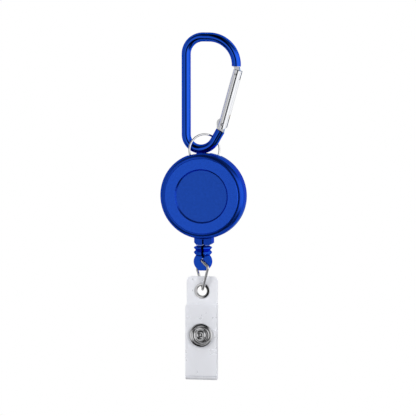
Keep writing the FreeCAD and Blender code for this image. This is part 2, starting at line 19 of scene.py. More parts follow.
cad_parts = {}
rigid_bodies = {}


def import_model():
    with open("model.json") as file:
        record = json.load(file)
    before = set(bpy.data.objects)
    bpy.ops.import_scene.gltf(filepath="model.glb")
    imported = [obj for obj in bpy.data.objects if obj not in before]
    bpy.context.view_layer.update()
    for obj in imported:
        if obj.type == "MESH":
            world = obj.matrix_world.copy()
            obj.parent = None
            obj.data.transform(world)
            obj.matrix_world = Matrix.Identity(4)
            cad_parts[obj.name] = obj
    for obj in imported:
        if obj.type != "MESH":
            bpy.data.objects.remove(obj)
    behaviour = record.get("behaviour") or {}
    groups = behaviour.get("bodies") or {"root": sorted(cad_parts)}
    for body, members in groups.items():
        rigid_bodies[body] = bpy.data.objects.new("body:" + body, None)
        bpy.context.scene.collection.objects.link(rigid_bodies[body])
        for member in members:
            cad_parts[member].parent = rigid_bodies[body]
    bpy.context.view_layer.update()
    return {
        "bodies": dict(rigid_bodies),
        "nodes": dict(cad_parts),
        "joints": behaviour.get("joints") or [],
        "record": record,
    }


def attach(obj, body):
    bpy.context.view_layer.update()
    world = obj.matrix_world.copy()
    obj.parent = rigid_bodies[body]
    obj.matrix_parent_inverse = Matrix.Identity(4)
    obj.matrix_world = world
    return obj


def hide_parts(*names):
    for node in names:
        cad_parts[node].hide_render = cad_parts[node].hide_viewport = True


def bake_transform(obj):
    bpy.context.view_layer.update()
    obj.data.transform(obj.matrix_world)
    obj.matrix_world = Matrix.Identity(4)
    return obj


LOG = logging.getLogger("badge_reel")
MM = 0.001
CASE_X = -0.96
CASE_Z = -57.07

Colour = tuple[float, float, float]
Point = tuple[float, float, float]
HalfSpace = tuple[float, float, float, float]


class Grain(Enum):
    """Direction in which a surface was worked, as the stretch of its grain along X, Y and Z."""

    EVEN = (1.0, 1.0, 1.0)
    ALONG_Z = (1.0, 1.0, 0.06)


# ---------------------------------------------------------------------------------------------
# Node helpers
# ---------------------------------------------------------------------------------------------


def add_socket(tree: bpy.types.NodeTree, name: str, kind: str, default: object = None,
               out: bool = False) -> None:
    """Add one named socket to a node group.

    Args:
        tree: the group.
        name: the socket's name.
        kind: its type, such as NodeSocketFloat.
        default: its default value, where it has one.
        out: True for an output.
    """
    made = tree.interface.new_socket(name=name, in_out="OUTPUT" if out else "INPUT", socket_type=kind)
    if default is not None:
        made.default_value = default


def fill(tree: bpy.types.NodeTree, node: bpy.types.Node, *values: object, **named: object) -> bpy.types.Node:
    """Give a node's inputs a value each, or the socket that feeds them.

    Args:
        tree: the node's tree.
        node: the node.
        values: what its first inputs get, in order.
        named: what other inputs get, by name, with spaces written as underscores.

    Returns:
        The node.
    """
    pairs = list(zip(node.inputs, values))
    for key, value in named.items():
        label = key.replace("_", " ")
        pairs.append((next(s for s in node.inputs if s.name == label and s.enabled), value))
    for socket, value in pairs:
        if isinstance(value, bpy.types.NodeSocket):
            tree.links.new(value, socket)
        else:
            socket.default_value = value
    return node


def add_node(tree: bpy.types.NodeTree, kind: str, *values: object, settings: dict | None = None,
             **named: object) -> bpy.types.Node:
    """Add a node and fill its inputs.

    Args:
        tree: the tree.
        kind: the node's type.
        values: what its first inputs get, in order.
        settings: values of the node's own properties.
        named: what other inputs get, by name, with spaces written as underscores.

    Returns:
        The node.
    """
    made = tree.nodes.new(kind)
    for key, value in (settings or {}).items():
        setattr(made, key, value)
    return fill(tree, made, *values, **named)


def maths(tree: bpy.types.NodeTree, operation: str, *values: object) -> bpy.types.NodeSocket:
    """A sum on numbers. Args: the tree, the operation and its inputs. Returns: the result's socket."""
    return add_node(tree, "ShaderNodeMath", *values, settings={"operation": operation}).outputs["Value"]


def vector_maths(tree: bpy.types.NodeTree, operation: str, *values: object) -> bpy.types.NodeSocket:
    """A sum on vectors. Args: the tree, the operation and its inputs. Returns: the result's socket."""
    made = add_node(tree, "ShaderNodeVectorMath", *values, settings={"operation": operation})
    return next(socket for socket in made.outputs if socket.enabled)


def combine(tree: bpy.types.NodeTree, operation: str, first: bpy.types.NodeSocket | None,
            second: bpy.types.NodeSocket) -> bpy.types.NodeSocket:
    """Join two values, or pass the second on where there is no first.

    Args:
        tree: the tree that gets the node.
        operation: the Math operation.
        first: the first value, or None.
        second: the second value.

    Returns:
        The joined value's socket.
    """
    return second if first is None else maths(tree, operation, first, second)


def blended(tree: bpy.types.NodeTree, under: object, over: object,
            share: bpy.types.NodeSocket) -> bpy.types.NodeSocket:
    """A colour laid over another.

    Args:
        tree: the tree.
        under: the lower colour or its socket.
        over: the upper colour or its socket.
        share: how much of the upper one shows.

    Returns:
        The mixed colour's socket.
    """
    mix = add_node(tree, "ShaderNodeMix", settings={"data_type": "RGBA"}, Factor=share, A=under, B=over)
    return mix.outputs["Result"]


# ---------------------------------------------------------------------------------------------
# Shared shader groups
# ---------------------------------------------------------------------------------------------

VECTOR, FLOAT, COLOUR = "NodeSocketVector", "NodeSocketFloat", "NodeSocketColor"

GRAIN_DETAIL = 4.0
GRAIN_BAND = (0.3, 0.7)
SCUFF_TURN = (0.4, 0.9, 0.3)
SCUFF_STRETCH = (1.0, 9.0, 0.35)
SCUFF_DETAIL = 5.0
SCUFF_BAND = (0.62, 0.72)
SCUFF_PATCHES = 55.0


def start_group(name: str, inputs: list[tuple[str, str, object]], outputs: list[tuple[str, str]]) -> tuple:
    """Start a shader node group with named sockets.

    Args:
        name: the group's name.
        inputs: each input's name, type and default, or None.
        outputs: each output's name and type.

    Returns:
        The group, the sockets it is given, and its output node.
    """
    tree = bpy.data.node_groups.new(name, "ShaderNodeTree")
    for label, kind, default in inputs:
        add_socket(tree, label, kind, default)
    for label, kind in outputs:
        add_socket(tree, label, kind, out=True)
    return tree, tree.nodes.new("NodeGroupInput").outputs, tree.nodes.new("NodeGroupOutput")


def grain_group() -> bpy.types.NodeTree:
    """Fine surface grain, as a roughness that varies and a height.

    Returns:
        The shader node group, made once.
    """
    found = bpy.data.node_groups.get("surface_grain")
    if found:
        return found
    tree, given, result = start_group(
        "surface_grain",
        [("Vector", VECTOR, None), ("Stretch", VECTOR, (1, 1, 1)), ("Scale", FLOAT, 2000.0),
         ("Smoothest", FLOAT, 0.2), ("Roughest", FLOAT, 0.4)],
        [("Roughness", FLOAT), ("Height", FLOAT)])
    stretched = vector_maths(tree, "MULTIPLY", given["Vector"], given["Stretch"])
    fine = add_node(tree, "ShaderNodeTexNoise", Vector=stretched, Scale=given["Scale"],
                    Detail=GRAIN_DETAIL).outputs["Fac"]
    spread = add_node(tree, "ShaderNodeMapRange", Value=fine, From_Min=GRAIN_BAND[0],
                      From_Max=GRAIN_BAND[1], To_Min=given["Smoothest"], To_Max=given["Roughest"])
    fill(tree, result, spread.outputs["Result"], fine)
    return tree


def scuff_group() -> bpy.types.NodeTree:
    """Hairline scuffs and faint rub marks laid over a colour.

    Returns:
        The shader node group, made once.
    """
    found = bpy.data.node_groups.get("hairline_scuffs")
    if found:
        return found
    tree, given, result = start_group(
        "hairline_scuffs",
        [("Vector", VECTOR, None), ("Base", COLOUR, (0.5, 0.5, 0.5, 1)),
         ("Rubbed", COLOUR, (0.8, 0.8, 0.8, 1)), ("Scale", FLOAT, 160.0), ("Amount", FLOAT, 0.2)],
        [("Color", COLOUR)])
    turned = add_node(tree, "ShaderNodeMapping", Vector=given["Vector"], Rotation=SCUFF_TURN,
                      Scale=SCUFF_STRETCH)
    lines = add_node(tree, "ShaderNodeTexNoise", Vector=turned.outputs["Vector"], Scale=given["Scale"],
                     Detail=SCUFF_DETAIL)
    thin = add_node(tree, "ShaderNodeMapRange", Value=lines.outputs["Fac"], From_Min=SCUFF_BAND[0],
                    From_Max=SCUFF_BAND[1])
    patches = add_node(tree, "ShaderNodeTexNoise", Vector=given["Vector"], Scale=SCUFF_PATCHES)
    strength = maths(tree, "MULTIPLY", thin.outputs["Result"], patches.outputs["Fac"])
    share = add_node(tree, "ShaderNodeMath", strength, given["Amount"],
                     settings={"operation": "MULTIPLY", "use_clamp": True}).outputs["Value"]
    fill(tree, result, blended(tree, given["Base"], given["Rubbed"], share))
    return tree


def braid_group() -> bpy.types.NodeTree:
    """Crossing strands of a braided cord, from its along and around values.

    Returns:
        The shader node group, made once.
    """
    found = bpy.data.node_groups.get("cord_braid")
    if found:
        return found
    tree, given, result = start_group(
        "cord_braid",
        [("Along", FLOAT, None), ("Around", FLOAT, None), ("Pitch", FLOAT, 900.0), ("Strands", FLOAT, 4.0)],
        [("Height", FLOAT)])
    run = maths(tree, "MULTIPLY", given["Along"], given["Pitch"])
    turns = maths(tree, "MULTIPLY", maths(tree, "MULTIPLY", given["Around"], given["Strands"]), 2 * math.pi)
    strands = [maths(tree, "SINE", maths(tree, way, run, turns)) for way in ("ADD", "SUBTRACT")]
    fill(tree, result, maths(tree, "MULTIPLY_ADD", maths(tree, "MAXIMUM", *strands), 0.5, 0.5))
    return tree


# ---------------------------------------------------------------------------------------------
# Finishes
# ---------------------------------------------------------------------------------------------


def new_material(name: str) -> tuple[bpy.types.Material, bpy.types.NodeTree, bpy.types.Node]:
    """Start a material. Args: its name. Returns: the material, its tree and its shader."""
    made = bpy.data.materials.new(name)
    made.use_nodes = True
    return made, made.node_tree, made.node_tree.nodes["Principled BSDF"]


@dataclass(frozen=True)
class DiscZone:
    """A round part of a surface, facing -Y, painted a colour of its own; on the case these give the face a
    brighter blue than the rim, as painted light and shade.

    Attributes:
        centre: the disc's centre.
        radius: its radius.
        depth: how far the zone reaches on both sides of the centre along Y.
        colour: its colour, linear.
    """

    centre: Point
    radius: float
    depth: float
    colour: Colour

    def mask(self, tree: bpy.types.NodeTree, place: bpy.types.NodeSocket) -> bpy.types.NodeSocket:
        """A mask that is 1 inside the disc.

        Args:
            tree: the material's tree.
            place: the surface point's socket.

        Returns:
            The mask's socket.
        """
        offset = vector_maths(tree, "SUBTRACT", place, metres(self.centre))
        whole = None
        for directions, limit in (((1, 0, 1), self.radius), ((0, 1, 0), self.depth)):
            distance = vector_maths(tree, "LENGTH", vector_maths(tree, "MULTIPLY", offset, directions))
            whole = combine(tree, "MULTIPLY", whole, maths(tree, "LESS_THAN", distance, limit * MM))
        return whole


@dataclass(frozen=True)
class Finish:
    """A worked surface: its colour, how it shines and how it's marked.

    Attributes:
        name: the material's name.
        slot: the record's material slot; not used.
        colour: base colour, linear.
        rubbed: colour of the scuffs.
        scuffs: how much the scuffs show, 0 to 1.
        metallic: 1 for bare metal.
        smoothest, roughest: the roughness at both ends of the grain.
        grain: the direction in which the surface was worked.
        grain_scale: grain size, in marks for each metre.
        relief: depth of the grain, in metres.
        see_through: weight of the transmission.
        ior: index of refraction.
        zones: parts of the surface, as lists of half spaces, that show the zone colour; on the rod these are
            its bare ends, on the vinyl a painted shade line along the fold.
        zone_colour: the colour of those parts.
        painted_light_discs: round parts with colours of their own, each laid over the one before; on the
            case they paint the face brighter than the rim, which stays darker as painted shade.
        edge_tint: colour that the metal keeps where it's seen edge on.
    """

    name: str
    slot: str
    colour: Colour
    rubbed: Colour = (0.8, 0.8, 0.82)
    scuffs: float = 0.15
    metallic: float = 0.0
    smoothest: float = 0.2
    roughest: float = 0.35
    grain: Grain = Grain.EVEN
    grain_scale: float = 2500.0
    relief: float = 4e-6
    see_through: float = 0.0
    ior: float = 1.45
    zones: tuple[tuple[HalfSpace, ...], ...] = ()
    zone_colour: Colour = (0.62, 0.63, 0.66)
    painted_light_discs: tuple[DiscZone, ...] = ()
    edge_tint: Colour = (1.0, 1.0, 1.0)

    def zone_mask(self, tree: bpy.types.NodeTree, place: bpy.types.NodeSocket) -> bpy.types.NodeSocket:
        """A mask that is 1 inside any of the zones.

        Args:
            tree: the material's tree.
            place: the surface point's socket.

        Returns:
            The mask's socket.
        """
        whole = None
        for zone in self.zones:
            inside = None
            for *normal, depth in zone:
                height = vector_maths(tree, "DOT_PRODUCT", place, normal)
                inside = combine(tree, "MULTIPLY", inside, maths(tree, "GREATER_THAN", height, depth * MM))
            whole = combine(tree, "MAXIMUM", whole, inside)
        return whole

    def material(self) -> bpy.types.Material:
        """The finish as a material, made once.

        Returns:
            The material.
        """
        found = bpy.data.materials.get(self.name)
        if found:
            return found
        made, tree, shader = new_material(self.name)
        place = tree.nodes.new("ShaderNodeTexCoord").outputs["Object"]
        grain = add_node(tree, "ShaderNodeGroup", settings={"node_tree": grain_group()}, Vector=place,
                         Stretch=self.grain.value, Scale=self.grain_scale, Smoothest=self.smoothest,
                         Roughest=self.roughest)
        scuff = add_node(tree, "ShaderNodeGroup", settings={"node_tree": scuff_group()}, Vector=place,
                         Base=(*self.colour, 1), Rubbed=(*self.rubbed, 1), Amount=self.scuffs)
        colour = scuff.outputs["Color"]
        if self.zones:
            colour = blended(tree, colour, (*self.zone_colour, 1), self.zone_mask(tree, place))
        for disc in self.painted_light_discs:
            colour = blended(tree, colour, (*disc.colour, 1), disc.mask(tree, place))
        bump = add_node(tree, "ShaderNodeBump", Distance=self.relief, Height=grain.outputs["Height"])
        fill(tree, shader, Base_Color=colour, Roughness=grain.outputs["Roughness"],
             Normal=bump.outputs["Normal"], Metallic=self.metallic, Transmission_Weight=self.see_through,
             IOR=self.ior, Specular_Tint=(*self.edge_tint, 1))
        made.diffuse_color = (*self.colour, 1)
        return made


@dataclass(frozen=True)
class BraidFinish:
    """Braided cord: two sets of crossing strands with painted shade between them and a dull sheen.

    Attributes:
        name: the material's name.
        slot: the record's material slot; not used.
        groove_shade: painted shade between the strands, a darker colour, linear.
        strand: colour on top of a strand.
        pitch: turn of the strands along the cord, in radians for each metre.
        strands: how many strands run each way around.
        relief: height of a strand, in metres.
        roughness: how dull the cord is.
        sheen: weight of the light that its fibres catch.
    """

    name: str = "braided_cord_black"
    slot: str = "black_cord"
    groove_shade: Colour = (0.004, 0.004, 0.005)
    strand: Colour = (0.02, 0.02, 0.023)
    pitch: float = 4200.0
    strands: float = 3.0
    relief: float = 6e-5
    roughness: float = 0.6
    sheen: float = 0.25

    def material(self) -> bpy.types.Material:
        """The finish as a material, made once.

        Returns:
            The material.
        """
        found = bpy.data.materials.get(self.name)
        if found:
            return found
        made, tree, shader = new_material(self.name)
        along, around = (
            add_node(tree, "ShaderNodeAttribute", settings={"attribute_name": name}).outputs["Fac"]
            for name in ("along", "around"))
        height = add_node(tree, "ShaderNodeGroup", settings={"node_tree": braid_group()}, Along=along,
                          Around=around, Pitch=self.pitch, Strands=self.strands).outputs["Height"]
        bump = add_node(tree, "ShaderNodeBump", Distance=self.relief, Height=height)
        # Painted shade: the colour darkens from the strands' tops into the grooves between them.
        fill(tree, shader, Base_Color=blended(tree, (*self.groove_shade, 1), (*self.strand, 1), height),
             Normal=bump.outputs["Normal"], Roughness=self.roughness, Sheen_Weight=self.sheen)
        return made


# Bare ends of the blue rod at the gate, and a painted shade line along the strap's fold, as half spaces in
# millimetres.
NOSE_ZONE = ((1.0, 0.0, 0.0, 8.0), (0.0, 0.0, -1.0, 8.95), (0.0, 0.0, 1.0, -20.0))
TAIL_ZONE = ((1.0, 0.0, 0.0, 3.0), (0.5, 0.0, 0.866, -25.98), (0.0, 0.0, -1.0, 20.0))
CREASE_SHADE_ZONE = ((0.0, 0.0, 1.0, -124.45), (0.0, 0.0, -1.0, 124.1), (0.0, -1.0, 0.0, 2.0))

ANODISED = Finish("anodised_blue_rod", "blue_anodised", (0.015, 0.086, 0.61), rubbed=(0.2, 0.3, 0.8),
                  scuffs=0.08, metallic=1.0, smoothest=0.07, roughest=0.13, relief=3e-7, grain_scale=900.0,
                  zones=(NOSE_ZONE, TAIL_ZONE), edge_tint=(0.0, 0.3, 0.9))
ALUMINIUM = Finish("turned_aluminium", "bare_aluminium", (0.86, 0.87, 0.9), rubbed=(0.6, 0.6, 0.63),
                   scuffs=0.15, metallic=1.0, smoothest=0.12, roughest=0.22, relief=6e-7,
                   grain=Grain.ALONG_Z)
PIN_STEEL = Finish("pin_steel", "steel_pin", (0.5, 0.5, 0.52), metallic=1.0, smoothest=0.2, roughest=0.32)
BRASS = Finish("plunger_brass", "brass_plunger", (0.72, 0.5, 0.2), metallic=1.0, grain=Grain.ALONG_Z)
SPRING = Finish("spring_wire", "spring_steel", (0.4, 0.4, 0.42), metallic=1.0, smoothest=0.22, roughest=0.36)
NICKEL = Finish("nickel_plate", "nickel_steel", (0.7, 0.7, 0.71), rubbed=(0.42, 0.42, 0.43), scuffs=0.2,
                metallic=1.0, smoothest=0.1, roughest=0.2, relief=5e-7)
# Painted light and shade: the darker base blue shows on the rim and the other case parts as painted shade,
# and the disc inside 13.86 mm paints the face brighter; the two inner discs give the centre a darker blue.
CASE_BLUE = Finish("case_blue", "blue_chrome_plastic", (0.01, 0.057, 0.47), rubbed=(0.03, 0.13, 0.6),
                   scuffs=0.12, metallic=0.92, smoothest=0.15, roughest=0.23, relief=6e-7,
                   grain_scale=1200.0, edge_tint=(0.0, 0.35, 1.0),
                   painted_light_discs=(DiscZone((CASE_X, -5.0, CASE_Z), 13.86, 0.25, (0.019, 0.096, 0.65)),
                          DiscZone((CASE_X, -4.6, CASE_Z), 10.08, 0.395, (0.016, 0.08, 0.53)),
                          DiscZone((CASE_X, -4.3, CASE_Z), 9.6, 0.12, (0.018, 0.084, 0.53))))
PLAIN_BLUE = Finish("moulded_blue", "blue_plastic", (0.011, 0.07, 0.52), rubbed=(0.16, 0.24, 0.55),
                    scuffs=0.15, metallic=0.9, smoothest=0.1, roughest=0.16, relief=1e-6,
                    edge_tint=(0.0, 0.35, 1.0))
BRIGHT_NICKEL = Finish("bright_nickel", "nickel_steel", (0.6, 0.6, 0.61), rubbed=(0.35, 0.35, 0.36),
                       scuffs=0.2, metallic=1.0, smoothest=0.03, roughest=0.09, relief=3e-7)
WHITE = Finish("moulded_white", "white_plastic", (0.75, 0.75, 0.73), smoothest=0.35, roughest=0.5)
# The vinyl's zone colour is painted shade: a darker line along the front of the fold.
VINYL = Finish("frosted_vinyl", "clear_vinyl", (0.85, 0.86, 0.9), rubbed=(0.7, 0.71, 0.76), scuffs=0.04,
               smoothest=0.27, roughest=0.3, grain_scale=300.0, relief=5e-8, see_through=0.34, ior=1.36,
               zones=(CREASE_SHADE_ZONE,), zone_colour=(0.6, 0.61, 0.66))
BRAID = BraidFinish()


# ---------------------------------------------------------------------------------------------
# Geometry helpers
# ---------------------------------------------------------------------------------------------


def metres(point: Point) -> Vector:
    """A millimetre point in metres. Args: the point. Returns: its place as a vector."""
    return Vector(point) * MM


def filleted(points: list[Vector], radii: list[float], step_deg: float = 6.0) -> list[Vector]:
    """A run of straight lines whose corners are rounded.

    Args:
        points: the corners, ends included, in metres.
        radii: the fillet at each inner corner, in metres.
        step_deg: largest turn between two points of a fillet.

    Returns:
        The rounded path's points.
    """
    path = [points[0]]
    for before, corner, after, radius in zip(points, points[1:], points[2:], radii):
        back, ahead = (before - corner).normalized(), (after - corner).normalized()
        half = back.angle(ahead) / 2
        start, end = corner + back * (radius / math.tan(half)), corner + ahead * (radius / math.tan(half))
        centre = corner + (back + ahead).normalized() * (radius / math.sin(half))
        turn = math.pi - 2 * half
        count = max(2, math.ceil(math.degrees(turn) / step_deg))
        across, along = start - centre, (corner - start).normalized() * radius
        for i in range(count + 1):
            angle = turn * i / count
            path.append(centre + across * math.cos(angle) + along * math.sin(angle))
        path[-1] = end
    return [*path, points[-1]]


def evened(points: list[Vector], spacing: float) -> list[Vector]:
    """The same path with extra points, so that no two stand further apart than the spacing.

    Args:
        points: the path.
        spacing: the largest gap, in metres.

    Returns:
        The denser path.
    """
    dense = [points[0]]
    for here, there in zip(points, points[1:]):
        count = max(1, math.ceil((there - here).length / spacing))
        dense += [here.lerp(there, (i + 1) / count) for i in range(count)]
    return dense


class NodeTreeMaker:
    """Builds a Geometry Nodes tree one node at a time."""

    def __init__(self, name: str, inputs: list[tuple[str, str, object]]) -> None:
        """Start a tree.

        Args:
            name: the tree's name.
            inputs: each named input's name, socket type and default.
        """
        self.tree = bpy.data.node_groups.new(name, "GeometryNodeTree")
        add_socket(self.tree, "Geometry", "NodeSocketGeometry")
        for label, kind, default in inputs:
            add_socket(self.tree, label, kind, default)
        add_socket(self.tree, "Geometry", "NodeSocketGeometry", out=True)
        self.given = self.tree.nodes.new("NodeGroupInput").outputs
        self.result = self.tree.nodes.new("NodeGroupOutput")

    def node(self, kind: str, settings: dict | None = None, **inputs: object) -> bpy.types.Node:
        """Add a node.

        Args:
            kind: the node's type.
            settings: values of its own properties.
            inputs: value or socket of each input, with spaces in its name written as underscores.

        Returns:
            The node.
        """
        return add_node(self.tree, kind, settings=settings, **inputs)

    def finish(self, geometry: bpy.types.NodeSocket, material: bpy.types.Material) -> bpy.types.NodeTree:
        """End the tree in smooth shading, Realize Instances and Set Material.

        Args:
            geometry: the last geometry.
            material: the material.

        Returns:
            The tree.
        """
        smooth = self.node("GeometryNodeSetShadeSmooth", Geometry=geometry)
        real = self.node("GeometryNodeRealizeInstances", Geometry=smooth.outputs[0])
        dressed = self.node("GeometryNodeSetMaterial", Geometry=real.outputs[0], Material=material)
        self.tree.links.new(dressed.outputs[0], self.result.inputs[0])
        return self.tree


def sweep_tree(material: bpy.types.Material) -> bpy.types.NodeTree:
    """A round section swept along the edges of a path, with its run kept as attributes.

    Args:
        material: the swept surface's material.

    Returns:
        The tree.
    """
    maker = NodeTreeMaker("path_sweep", [("Section Radius", "NodeSocketFloat", 0.0005),
                                         ("Section Facets", "NodeSocketInt", 20)])
    curve = maker.node("GeometryNodeMeshToCurve", Mesh=maker.given["Geometry"])
    length = maker.node("GeometryNodeSplineParameter").outputs["Length"]
    marked = maker.node("GeometryNodeStoreNamedAttribute", {"data_type": "FLOAT", "domain": "POINT"},
                        Geometry=curve.outputs[0], Name="along", Value=length)
    ring = maker.node("GeometryNodeCurvePrimitiveCircle", Radius=maker.given["Section Radius"],
                      Resolution=maker.given["Section Facets"])
    part = maker.node("GeometryNodeSplineParameter").outputs["Factor"]
    wrapped = maker.node("GeometryNodeStoreNamedAttribute", {"data_type": "FLOAT", "domain": "POINT"},
                         Geometry=ring.outputs[0], Name="around", Value=part)
    tube = maker.node("GeometryNodeCurveToMesh", Curve=marked.outputs[0], Profile_Curve=wrapped.outputs[0],
                      Fill_Caps=True)
    return maker.finish(tube.outputs[0], material)


def strip_coil_tree(material: bpy.types.Material) -> bpy.types.NodeTree:
    """A strip wound into a coil: the split ring, the clock spring and the gate's return spring.

    Args:
        material: the strip's material.

    Returns:
        The tree.
    """
    maker = NodeTreeMaker("strip_coil", [("Turns", "NodeSocketFloat", 2.0),
                                         ("Steps", "NodeSocketInt", 96),
                                         ("Inner Radius", "NodeSocketFloat", 0.005),
                                         ("Outer Radius", "NodeSocketFloat", 0.005),
                                         ("Rise", "NodeSocketFloat", 0.0),
                                         ("Strip Width", "NodeSocketFloat", 0.0004),
                                         ("Strip Thickness", "NodeSocketFloat", 0.0008),
                                         ("Corner", "NodeSocketFloat", 0.0001),
                                         ("Turned", "NodeSocketRotation", None),
                                         ("Placed", "NodeSocketVector", (0, 0, 0))])
    given = maker.given
    coil = maker.node("GeometryNodeCurveSpiral", Resolution=given["Steps"], Rotations=given["Turns"],
                      Start_Radius=given["Inner Radius"], End_Radius=given["Outer Radius"],
                      Height=given["Rise"])
    strip = maker.node("GeometryNodeCurvePrimitiveQuadrilateral", Width=given["Strip Thickness"],
                       Height=given["Strip Width"])
    soft = maker.node("GeometryNodeFilletCurve", Curve=strip.outputs[0], Radius=given["Corner"])
    tube = maker.node("GeometryNodeCurveToMesh", Curve=coil.outputs[0], Profile_Curve=soft.outputs[0],
                      Fill_Caps=True)
    placed = maker.node("GeometryNodeTransform", Geometry=tube.outputs[0], Translation=given["Placed"],
                        Rotation=given["Turned"])
    return maker.finish(placed.outputs[0], material)


def winding_tree(material: bpy.types.Material) -> bpy.types.NodeTree:
    """One layer of turns of cord laid side by side about the Y axis.

    Args:
        material: the cord's material.

    Returns:
        The tree.
    """
    maker = NodeTreeMaker("cord_winding", [("Turns Across", "NodeSocketInt", 4),
                                           ("Layer Radius", "NodeSocketFloat", 0.0072),
                                           ("Turn Steps", "NodeSocketInt", 72),
                                           ("Cord Radius", "NodeSocketFloat", 0.00033),
                                           ("Cord Facets", "NodeSocketInt", 10),
                                           ("First Turn", "NodeSocketVector", (0, 0, 0))])
    given = maker.given
    step = maker.node("ShaderNodeCombineXYZ", Y=maths(maker.tree, "MULTIPLY", given["Cord Radius"], 2.0))
    row = maker.node("GeometryNodeMeshLine", Count=given["Turns Across"], Start_Location=given["First Turn"],
                     Offset=step.outputs[0])
    ring = maker.node("GeometryNodeCurvePrimitiveCircle", Radius=given["Layer Radius"],
                      Resolution=given["Turn Steps"])
    section = maker.node("GeometryNodeCurvePrimitiveCircle", Radius=given["Cord Radius"],
                         Resolution=given["Cord Facets"])
    turn = maker.node("GeometryNodeCurveToMesh", Curve=ring.outputs[0], Profile_Curve=section.outputs[0])
    upright = maker.node("GeometryNodeTransform", Geometry=turn.outputs[0], Rotation=(math.pi / 2, 0, 0))
    many = maker.node("GeometryNodeInstanceOnPoints", Points=row.outputs[0], Instance=upright.outputs[0])
    return maker.finish(many.outputs[0], material)


def grown(name: str, tree: bpy.types.NodeTree, values: dict[str, object],
          path: list[Vector] | None = None) -> bpy.types.Object:
    """Run a Geometry Nodes tree and keep its result as a plain mesh object.

    Args:
        name: the piece's name.
        tree: the tree.
        values: the value of each named input.
        path: points joined by edges that the tree starts from, or None.

    Returns:
        The finished object.
    """
    points = path or []
    start = bpy.data.meshes.new(name + "_path")
    start.from_pydata([tuple(p) for p in points], [(i, i + 1) for i in range(len(points) - 1)], [])
    holder = bpy.data.objects.new(name + "_path", start)
    bpy.context.scene.collection.objects.link(holder)
    modifier = holder.modifiers.new("maker", "NODES")
    modifier.node_group = tree
    for item in tree.interface.items_tree:
        if item.in_out == "INPUT" and item.name in values:
            modifier[item.identifier] = values[item.name]
    graph = bpy.context.evaluated_depsgraph_get()
    mesh = bpy.data.meshes.new_from_object(holder.evaluated_get(graph))
    mesh.name = name
    bpy.data.objects.remove(holder)
    return shown(name, mesh)


def shown(name: str, mesh: bpy.types.Mesh) -> bpy.types.Object:
    """Put a mesh in the scene as an object at the origin. Args: its name and mesh. Returns: the object."""
    made = bpy.data.objects.new(name, mesh)
    bpy.context.scene.collection.objects.link(made)
    return made


def dress_node(frame: dict, node: str, finish: Finish | BraidFinish) -> None:
    """Give a CAD node its finish.

    Args:
        frame: what load() returned.
        node: the node's name.
        finish: the finish.
    """
    piece = frame["nodes"][node]
    piece.data.materials.clear()
    piece.data.materials.append(finish.material())


# ---------------------------------------------------------------------------------------------
# Sub-assemblies
# ---------------------------------------------------------------------------------------------


@dataclass
class Carabiner:
    """The snap hook: its blue rod, aluminium gate, pins, plunger and spring."""

    finishes: dict[str, Finish] = field(default_factory=lambda: {
        "carabiner_body": ANODISED, "gate_pivot_pin": PIN_STEEL, "carabiner_gate": ALUMINIUM,
        "gate_latch_pin": PIN_STEEL, "gate_plunger": BRASS})
    pivot: Point = (6.28, 0.0, -30.56)
    lean_deg: float = 15.6
    spring_foot: float = 6.53
    spring_top: float = 13.47
    spring_radius: float = 0.58
    spring_wire: float = 0.1
    spring_turns: float = 11.0
    spring_steps: int = 20
    wire_corner: float = 0.098

    def build(self, frame: dict) -> list[str]:
        """Dress the hook's parts. Args: the loaded frame. Returns: the parts' names."""
        for node, finish in self.finishes.items():
            dress_node(frame, node, finish)
        return [*self.finishes, self.return_spring().name]

    def return_spring(self) -> bpy.types.Object:
        """Wind the spring that shortens as the plunger moves up in the gate. Returns: the spring."""
        turned = Matrix.Rotation(math.radians(self.lean_deg), 3, "Y")
        foot, top = (Vector(self.pivot) + turned @ Vector((0, 0, at))
                     for at in (self.spring_foot, self.spring_top))
        spring = grown("gate_return_spring", strip_coil_tree(SPRING.material()), {
            "Turns": self.spring_turns, "Steps": self.spring_steps,
            "Inner Radius": self.spring_radius * MM,
            "Outer Radius": self.spring_radius * MM, "Rise": (self.spring_top - self.spring_foot) * MM,
            "Strip Width": 2 * self.spring_wire * MM, "Strip Thickness": 2 * self.spring_wire * MM,
            "Corner": self.wire_corner * MM, "Turned": turned.to_euler(), "Placed": foot * MM})
        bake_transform(spring)
        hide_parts("gate_spring")
        return spring


@dataclass
class SplitRing:
    """The split ring: two turns of flattened wire that lie against each other."""

    centre: Point = (-0.85, 0.0, -40.2)
    radius: float = 5.85
    yaw_deg: float = 31.0
    turns: float = 1.94
    wire_wide: float = 0.36
    wire_deep: float = 0.72
    corner: float = 0.13
    steps: int = 150

    def build(self) -> bpy.types.Object:
        """Wind the ring and hang it on its body. Returns: the ring."""
        turned = Matrix.Rotation(math.radians(self.yaw_deg), 3, "Z") @ Matrix.Rotation(-math.pi / 2, 3, "X")
        lift = turned @ Vector((0, 0, -self.wire_wide / 2))
        ring = grown("split_ring_coil", strip_coil_tree(NICKEL.material()), {
            "Turns": self.turns, "Steps": self.steps, "Inner Radius": self.radius * MM,
            "Outer Radius": self.radius * MM, "Rise": self.wire_wide * MM,
            "Strip Width": self.wire_wide * MM, "Strip Thickness": self.wire_deep * MM,
            "Corner": self.corner * MM, "Turned": turned.to_euler(),
            "Placed": (Vector(self.centre) + lift) * MM})
        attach(ring, "ring")
        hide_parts("split_ring")
        return ring


